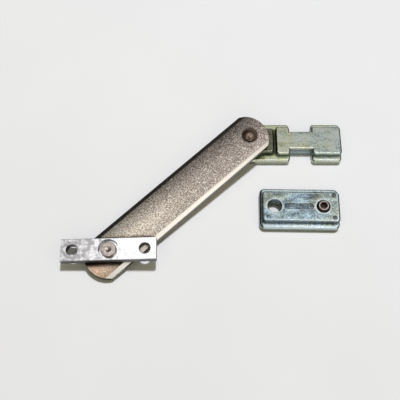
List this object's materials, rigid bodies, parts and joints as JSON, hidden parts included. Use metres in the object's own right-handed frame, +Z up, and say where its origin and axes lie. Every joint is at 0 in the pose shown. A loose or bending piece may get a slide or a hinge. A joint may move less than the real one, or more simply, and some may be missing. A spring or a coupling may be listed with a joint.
{
  "type": "tilt window stay",
  "caption": "Tilt window stay: a notched groove slider, a flat arm that swings on a rivet, a pivoting fixing block and a loose groove keeper with a set screw.",
  "frame": {"origin": "arm's pivot axis at the slider's underside", "axes": "+X along the slider towards its notched end, +Z up from the slider's underside"},
  "size_m": [0.1305, 0.079, 0.0133],
  "materials": {
    "zinc_slider": "zinc die casting with a yellow to blue passivate",
    "nickel_arm": "nickel plated flat bar with a coarse grain",
    "rivet_steel": "bare steel, browned",
    "block_aluminium": "sawn mill finish",
    "zinc_keeper": "zinc die casting with a blue to yellow passivate",
    "screw_steel": "blackened steel"
  },
  "bodies": {
    "slider": {"slider": "zinc_slider", "slider_rivet": "rivet_steel", "keeper": "zinc_keeper", "keeper_set_screw": "screw_steel"},
    "arm": {"arm": "nickel_arm", "block_rivet": "rivet_steel"},
    "fixing_block": {"fixing_block": "block_aluminium"}
  },
  "joints": [
    {"name": "arm_swing", "type": "hinge", "parent": "slider", "child": "arm", "pos_m": [0, 0, 0.00736], "axis": [0, 0, 1], "range_deg": [-111.7, 28.3]},
    {"name": "block_swing", "type": "hinge", "parent": "arm", "child": "fixing_block", "pos_m": [-0.06445, -0.05662, 0.0057], "axis": [-0.0501, -0.0446, 0.9977], "continuous": true}
  ]
}
